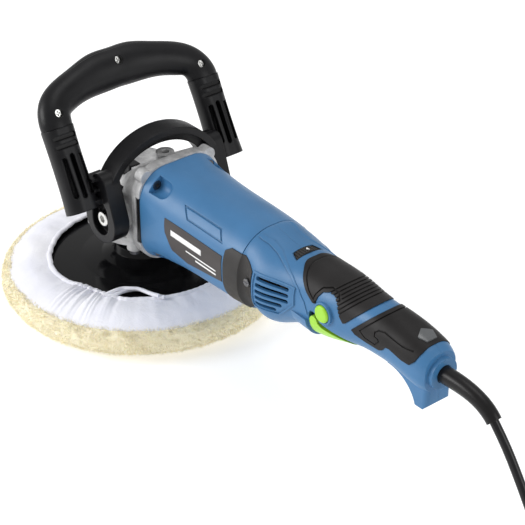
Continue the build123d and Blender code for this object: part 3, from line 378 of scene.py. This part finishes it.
def thicken(obj, thickness, offset):
    """Give a sheet its thickness and bake it into the mesh."""
    solid = obj.modifiers.new("thickness", "SOLIDIFY")
    solid.thickness = thickness
    solid.offset = offset
    apply_modifiers(obj)


def smooth_step(t):
    """0 to 1 with level ends, for t from 0 to 1."""
    t = min(1.0, max(0.0, t))
    return t * t * (3.0 - 2.0 * t)


# ---------------------------------------------------------------- cord

def coil_points():
    """Control points of the coil: rings inwards on the floor, then outwards on top of them."""
    x0, y0 = COIL_CENTRE
    rings = list(COIL_RADII) + list(reversed(COIL_RADII))
    heights = [COIL_LOW] * len(COIL_RADII) + [COIL_HIGH] * len(COIL_RADII)
    last = len(rings) - 1
    total = 360.0 * last + (COIL_END - COIL_START)
    swell = 1.0 / (0.75 + 0.25 * cos(radians(COIL_STEP)))
    points = []
    for i in range(1, int(total / COIL_STEP)):
        turned = i * COIL_STEP
        turn = min(last, int(turned / 360.0))
        share = smooth_step((turned / 360.0 - turn - (1.0 - CROSSING)) / CROSSING)
        after = min(last, turn + 1)
        radius = (rings[turn] + (rings[after] - rings[turn]) * share) * swell
        height = heights[turn] + (heights[after] - heights[turn]) * share
        angle = radians(COIL_START + turned)
        points.append((x0 + radius * cos(angle), y0 + radius * sin(angle), height))
    return points


def make_cord():
    """The whole mains cord as one curve, from the strain relief round the coil to the plug."""
    curve = bpy.data.curves.new("mains_cord", "CURVE")
    curve.dimensions = "3D"
    curve.bevel_depth = CORD_D / 2
    curve.bevel_resolution = 5
    curve.resolution_u = 4
    curve.use_fill_caps = True
    points = LEAD + coil_points() + TAIL
    spline = curve.splines.new("NURBS")
    spline.points.add(len(points) - 1)
    for point, (x, y, z) in zip(spline.points, points):
        point.co = (x, y, z, 1.0)
    spline.order_u = 3
    spline.use_endpoint_u = True
    curve.materials.append(LOOKS["cord_rubber"])
    obj = bpy.data.objects.new("mains_cord", curve)
    bpy.context.scene.collection.objects.link(obj)
    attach(obj, "machine_body")
    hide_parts("cord_lead", "cord_coil", "cord_tail")


# ---------------------------------------------------------------- bonnet

def ring_points(profile, count, shape):
    """Points round the spindle: shape(angle, radius, height) gives each one."""
    points = []
    for i in range(count):
        angle = tau * i / count
        for radius, height in profile:
            points.append(shape(angle, radius, height))
    return points


def ring_faces(count, rows):
    """Quads between neighbouring rows of points all round the spindle."""
    faces = []
    for i in range(count):
        k = (i + 1) % count
        for j in range(rows - 1):
            faces.append((i * rows + j, k * rows + j, k * rows + j + 1, i * rows + j + 1))
    return faces


def fine_profile(points, step):
    """The same outline with points no further apart than step."""
    fine = [points[0]]
    for (r0, z0), (r1, z1) in zip(points, points[1:]):
        length = ((r1 - r0) ** 2 + (z1 - z0) ** 2) ** 0.5
        parts = max(1, round(length / step))
        for i in range(1, parts + 1):
            t = i / parts
            fine.append((r0 + (r1 - r0) * t, z0 + (z1 - z0) * t))
    return fine


def make_pile():
    """Wool body: the tufted surface of the pile."""
    profile = fine_profile(PILE_FORM[:3], 0.010) + fine_profile(PILE_FORM[3:], 0.0014)

    def tufted(angle, radius, height):
        if radius < 0.001:
            return (0.0, 0.0, height)
        base = Vector((radius * cos(angle), radius * sin(angle), height))
        tuft = noise.fractal(base * 170.0, 0.7, 2.1, 4)
        lump = noise.noise(base * 45.0)
        reach = smooth_step((radius - 0.080) / 0.015)
        out = (0.0004 * tuft + 0.0006 * lump) * reach
        lift = 0.0005 * noise.noise(base * 130.0 + Vector((7.0, 3.0, 1.0))) * reach
        return ((radius + out) * cos(angle), (radius + out) * sin(angle), max(0.0003, height + lift))

    points = ring_points(profile, PILE_AROUND, tufted)
    body = mesh_piece("wool_body", points, ring_faces(PILE_AROUND, len(profile)), "cream_wool")
    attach(body, "polishing_head")
    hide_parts("wool_pile")


def make_fibres():
    """Loose curved fibres that stand out of the pile's side, in tufts."""
    draw = random.Random(FIBRE_SEED)
    outline = fine_profile(PILE_FORM[3:], 0.0004)
    points = []
    faces = []
    for _ in range(FIBRES):
        angle = draw.uniform(0.0, tau)
        at = draw.random() ** 0.9
        index = min(len(outline) - 2, int(at * (len(outline) - 1)))
        radius, height = outline[index]
        ahead = outline[index + 1]
        slope = Vector((ahead[1] - height, radius - ahead[0]))
        slope.normalize()
        out = Vector((slope.x * cos(angle), slope.x * sin(angle), slope.y))
        round_way = Vector((-sin(angle), cos(angle), 0.0))
        root = Vector((radius * cos(angle), radius * sin(angle), height)) - out * 0.0006
        tuft = noise.noise_vector(root * 95.0)
        wild = Vector((draw.gauss(0, 1), draw.gauss(0, 1), draw.gauss(0, 1)))
        lean = tuft * 0.9 + wild * 0.45
        length = draw.uniform(*FIBRE_LENGTH)
        bend = (out * 0.9 + lean * 0.6).normalized()
        tip = (out * 0.35 + lean + Vector((0, 0, -0.25))).normalized()
        side = bend.cross(round_way if draw.random() < 0.5 else Vector((0, 0, 1)))
        if side.length < 1e-4:
            side = round_way.copy()
        side = side.normalized() * draw.uniform(*FIBRE_WIDTH)
        middle = root + bend * length * 0.55
        end = middle + tip * length * 0.5
        middle.z = max(0.0005, middle.z)
        end.z = max(0.0004, end.z)
        first = len(points)
        points += [root - side, root + side, middle - side * 0.8, middle + side * 0.8, end]
        faces += [(first, first + 1, first + 3, first + 2), (first + 2, first + 3, first + 4)]
    fibres = mesh_piece("wool_fibres", points, faces, "cream_wool")
    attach(fibres, "polishing_head")


def ruffle(angle):
    """1 in the gathered stretch by the bow, 0 away from it."""
    degrees_round = (degrees(angle) + 180.0) % 360.0 - 180.0
    middle = (RUFFLE_FROM + RUFFLE_TO) / 2
    half = (RUFFLE_TO - RUFFLE_FROM) / 2
    return smooth_step(1.35 - abs(degrees_round - middle) / half)


def puckers(angle):
    """Uneven small folds that the drawstring pulls into the hem."""
    around = Vector((cos(angle), sin(angle), 0.0))
    wide = noise.noise(around * 15.0 + Vector((3.0, 1.0, 0.0)))
    narrow = noise.noise(around * 34.0 + Vector((0.0, 5.0, 2.0)))
    return wide + 0.7 * narrow


def hem_shape(angle):
    """Radius and height of the hem's edge: nearly round, pulled into small puckers by the bow."""
    near = ruffle(angle)
    slow = noise.noise(Vector((2.2 * cos(angle), 2.2 * sin(angle), 0.3)))
    quick = noise.noise(Vector((9.0 * cos(angle), 9.0 * sin(angle), 2.0)))
    folds = puckers(angle)
    radius = HEM_R + 0.0018 * slow + 0.0007 * quick + near * (-0.0030 + 0.0030 * folds)
    height = HEM_Z + 0.0004 * quick + near * (0.0008 + 0.0020 * folds)
    return radius, height


def cloth_point(angle, t):
    """A point of the cotton: t runs from the wool edge, 0, to the hem, 1."""
    hem_r, hem_z = hem_shape(angle)
    near = ruffle(angle)
    around = Vector((cos(angle), sin(angle), 0.0))
    edge_r = EDGE_R + 0.0006 * noise.noise(around * 14.0 + Vector((0, 0, 5.0)))
    radius = edge_r + (hem_r - edge_r) * t
    height = EDGE_Z + (hem_z - EDGE_Z) * (1.0 - (1.0 - t) ** 1.8)
    puff = 0.0020 * sin(pi * t) * (0.85 + 0.4 * noise.noise(around * 1.6))
    pleats = noise.noise(around * 11.0 + Vector((0, 0, 1.3 * t + 4.0)))
    swells = noise.noise(around * 5.0 + Vector((0, 0, t * 2.2)))
    quiet = 0.0005 * pleats * smooth_step(t * 1.3) + 0.0007 * swells
    loud = near * smooth_step((t - 0.58) / 0.38) * 0.0019 * puckers(angle)
    height += puff + quiet + loud
    lowest = plate_height(radius) + 0.0009
    return Vector((radius * cos(angle), radius * sin(angle), max(height, lowest)))


def plate_height(radius):
    """Top face of the backing plate under the cotton."""
    if radius > PLATE_R:
        return PLATE_RIM_Z
    (inner_r, inner_z), (outer_r, outer_z) = PLATE_INNER, PLATE_OUTER
    t = (radius - inner_r) / (outer_r - inner_r)
    return inner_z + (outer_z - inner_z) * t


def make_cotton():
    """The cotton of the bonnet, from the wool's edge over the plate's rim to the drawn hem."""
    points = []
    for i in range(AROUND):
        angle = tau * i / AROUND
        under = cloth_point(angle, 0.0)
        points.append((under.x * TUCK_R, under.y * TUCK_R, under.z - TUCK_Z))
        points += [cloth_point(angle, j / (COTTON_ROWS - 1)) for j in range(COTTON_ROWS)]
    skirt = mesh_piece("cotton_skirt", points, ring_faces(AROUND, COTTON_ROWS + 1), "white_cotton")
    thicken(skirt, COTTON_THICK, -1.0)
    hem = make_hem()
    bow = make_bow()
    for piece in [skirt, hem] + bow:
        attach(piece, "polishing_head")
    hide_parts("bonnet_skirt")
    for loop in bow:
        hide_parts("drawstring")


def make_hem():
    """Puckered tube of the drawn hem; its inside edge rolls over the drawstring."""
    points = []
    for i in range(AROUND):
        angle = tau * i / AROUND
        radius, height = hem_shape(angle)
        near = ruffle(angle)
        around = Vector((cos(angle), sin(angle), 0.0))
        pucker = 1.0 + 0.16 * sin(angle * 94.0 + 3.0 * noise.noise(around * 3.0)) * (0.25 + near)
        pucker += 0.14 * noise.noise(around * 17.0)
        width = HEM_HALF_WIDTH * pucker
        rise = HEM_HALF_HEIGHT * pucker
        for k in range(HEM_SIDES):
            turn = tau * k / HEM_SIDES
            r = radius - 0.0006 + width * cos(turn)
            z = height + rise * sin(turn)
            points.append((r * cos(angle), r * sin(angle), max(z, plate_height(r) + 0.0003)))
    faces = []
    for i in range(AROUND):
        here, ahead = i * HEM_SIDES, (i + 1) % AROUND * HEM_SIDES
        for k in range(HEM_SIDES):
            n = (k + 1) % HEM_SIDES
            faces.append((here + k, here + n, ahead + n, ahead + k))
    return mesh_piece("drawn_hem", points, faces, "white_cotton")


def strand(name, points, thickness, look):
    """A round string or wire through the points, as one closed mesh."""
    curve = bpy.data.curves.new(name, "CURVE")
    curve.dimensions = "3D"
    curve.bevel_depth = thickness / 2
    curve.bevel_resolution = 4
    curve.resolution_u = 10
    curve.use_fill_caps = True
    spline = curve.splines.new("NURBS")
    spline.points.add(len(points) - 1)
    for point, place_at in zip(spline.points, points):
        point.co = (*place_at, 1.0)
    spline.order_u = 3
    spline.use_endpoint_u = True
    holder = bpy.data.objects.new(name, curve)
    bpy.context.scene.collection.objects.link(holder)
    bpy.context.view_layer.update()
    mesh = bpy.data.meshes.new_from_object(holder.evaluated_get(bpy.context.evaluated_depsgraph_get()))
    bpy.data.objects.remove(holder)
    obj = bpy.data.objects.new(name, mesh)
    bpy.context.scene.collection.objects.link(obj)
    obj.data.materials.clear()
    obj.data.materials.append(LOOKS[look])
    return obj


BOW_ROUTES = [           # degrees round the spindle, radius and height in millimetres
    [(-58.0, 69.0, 31.0), (-53.0, 64.5, 31.6), (-50.0, 59.5, 31.2), (-46.0, 55.6, 30.6), (-41.0, 54.0, 30.4),
     (-36.0, 56.0, 30.6), (-32.0, 61.0, 31.0), (-28.0, 66.2, 31.8), (-24.0, 69.8, 32.2)],
    [(-60.0, 68.4, 31.4), (-55.0, 62.6, 33.2), (-50.5, 57.2, 32.6), (-45.0, 57.6, 33.0), (-40.0, 57.0, 32.8),
     (-35.0, 60.2, 32.4), (-31.0, 65.0, 33.0), (-27.0, 69.0, 33.4)],
]


def make_bow():
    """Two loops of the drawstring that come out of the hem and lie on the plate."""
    loops = []
    for k, route in enumerate(BOW_ROUTES):
        points = []
        for degrees_round, radius, height in route:
            angle = radians(degrees_round)
            points.append((radius * MM * cos(angle), radius * MM * sin(angle), height * MM))
        loops.append(strand(f"drawstring_loop_{k + 1}", points, STRING_D, "white_cotton"))
    return loops


# ---------------------------------------------------------------- print

LABEL_BARS = [           # plain bars on the left nameplate: x of the two ends, z of the lower edge, height
    (0.0800, 0.1120, 0.0915, 0.0042),
    (0.0960, 0.1270, 0.0862, 0.0010),
    (0.1060, 0.1270, 0.0828, 0.0013),
]
LABEL_SLOPE = -0.045     # the bars fall slightly towards the rear
LABEL_SIDE = -0.0325     # y of the nameplate, where a ray misses it
RAY_START = -0.08        # y outside the nameplate
BAR_ALONG = 24           # points along and across each bar
BAR_ACROSS = 5
PRINT_PROUD = 0.00012
PRINT_THICK = 0.0001

# pointer on the dial: its first edge and its sweep round the dial in degrees, how far it stands in from the
# dial's ends, and how much it narrows
MARK_FROM = 84.0
MARK_SWEEP = 5.0
MARK_INSET = 0.0014
MARK_TAPER = 0.0016
MARK_STEPS = 6
MARK_PROUD = 0.00008


def left_surface(x, z):
    """y of the left nameplate's outside at this place, by casting a ray."""
    plate = NODES["label_plates"]
    found, at, _, _ = plate.ray_cast(Vector((x, RAY_START, z)), Vector((0.0, 1.0, 0.0)))
    return at.y if found else LABEL_SIDE


def make_label_print():
    """Raised plain bars in place of lettering, following the nameplate."""
    points = []
    faces = []
    for x0, x1, low, tall in LABEL_BARS:
        first = len(points)
        for i in range(BAR_ALONG):
            for j in range(BAR_ACROSS):
                x = x0 + (x1 - x0) * i / (BAR_ALONG - 1)
                z = low + tall * j / (BAR_ACROSS - 1) + LABEL_SLOPE * (x - x0)
                points.append((x, left_surface(x, z) - PRINT_PROUD, z))
        for i in range(BAR_ALONG - 1):
            for j in range(BAR_ACROSS - 1):
                k = first + i * BAR_ACROSS + j
                faces.append((k, k + BAR_ACROSS, k + BAR_ACROSS + 1, k + 1))
    bars = mesh_piece("label_print", points, faces, "white_print")
    thicken(bars, PRINT_THICK, -1.0)
    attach(bars, "machine_body")


def make_dial_mark():
    """Plain white pointer on the rim of the speed dial."""
    low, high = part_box("speed_dial")
    centre_z = (low[2] + high[2]) / 2
    radius = (high[2] - low[2]) / 2 + MARK_PROUD
    points = []
    for i in range(MARK_STEPS + 1):
        angle = radians(MARK_FROM + MARK_SWEEP * i / MARK_STEPS)
        inset = MARK_INSET + MARK_TAPER * i / MARK_STEPS
        for x in (low[0] + inset, high[0] - inset):
            points.append((x, radius * cos(angle), centre_z + radius * sin(angle)))
    faces = [(2 * i, 2 * i + 1, 2 * i + 3, 2 * i + 2) for i in range(MARK_STEPS)]
    mark = mesh_piece("dial_mark", points, faces, "white_print")
    thicken(mark, PRINT_THICK, -1.0)
    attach(mark, "dial")


# ---------------------------------------------------------------- spring

SPRING_WIRE = 0.0009
SPRING_TURNS = 3
SPRING_STEPS = 16        # points in a turn


def make_lock_spring():
    """Coiled wire of the spindle lock's return spring, which the lock squeezes when pressed; here it keeps
    one fixed length.
    """
    low, high = (Vector(corner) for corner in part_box("lock_spring"))
    centre = (low + high) / 2
    radius = (high.x - low.x) / 2 - SPRING_WIRE / 2
    rise = high.z - low.z - SPRING_WIRE
    steps = SPRING_STEPS * SPRING_TURNS
    points = []
    for i in range(steps + 1):
        angle = tau * SPRING_TURNS * i / steps
        height = low.z + SPRING_WIRE / 2 + rise * i / steps
        points.append((centre.x + radius * cos(angle), centre.y + radius * sin(angle), height))
    spring = strand("lock_spring_wire", points, SPRING_WIRE, "zinc_steel")
    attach(spring, "machine_body")
    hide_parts("lock_spring")
    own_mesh(spring)


# ---------------------------------------------------------------- stage

WORLD_STRENGTH = 0.62
FLOOR_REACH = 4.0
LAMPS = [                # name, place, size and power in watts
    ("key", (-0.70, -1.20, 0.75), (0.9, 0.7), 15.0),
    ("fill", (1.30, 0.40, 0.60), (0.7, 0.7), 4.0),
    ("top", (0.10, 0.30, 1.50), (0.7, 0.7), 3.5),
]


def make_camera():
    turn, lift = radians(AZIMUTH), radians(ELEVATION)
    back = Vector((sin(turn) * cos(lift), -cos(turn) * cos(lift), sin(lift)))
    data = bpy.data.cameras.new("camera")
    data.lens = LENS
    data.sensor_width = SENSOR
    data.clip_end = 50.0
    camera = bpy.data.objects.new("camera", data)
    bpy.context.scene.collection.objects.link(camera)
    camera.location = TARGET + back * DISTANCE
    camera.rotation_euler = (-back).to_track_quat("-Z", "Y").to_euler()
    bpy.context.scene.camera = camera


def area_light(name, place_at, size, power):
    """Rectangular lamp that faces the camera's target."""
    data = bpy.data.lights.new(name, "AREA")
    data.shape = "RECTANGLE"
    data.size, data.size_y = size
    data.energy = power
    lamp = bpy.data.objects.new(name, data)
    bpy.context.scene.collection.objects.link(lamp)
    lamp.location = place_at
    lamp.rotation_euler = (TARGET - Vector(place_at)).to_track_quat("-Z", "Y").to_euler()


def make_stage():
    """White world, pale floor and the lamps."""
    world = bpy.data.worlds.new("studio")
    world.use_nodes = True
    background = world.node_tree.nodes["Background"]
    background.inputs["Color"].default_value = (1.0, 1.0, 1.0, 1.0)
    background.inputs["Strength"].default_value = WORLD_STRENGTH
    bpy.context.scene.world = world
    bpy.context.scene.view_settings.view_transform = "Standard"
    floor_mesh = bpy.data.meshes.new("floor")
    grid = bmesh.new()
    bmesh.ops.create_grid(grid, x_segments=2, y_segments=2, size=FLOOR_REACH)
    grid.to_mesh(floor_mesh)
    grid.free()
    floor = bpy.data.objects.new("floor", floor_mesh)
    floor_mesh.materials.append(floor_surface("pale_floor"))
    bpy.context.scene.collection.objects.link(floor)
    for name, place_at, size, power in LAMPS:
        area_light(name, place_at, size, power)


dress_frame()
make_camera()
make_cord()
make_pile()
make_fibres()
make_cotton()
make_label_print()
make_dial_mark()
make_lock_spring()
make_stage()
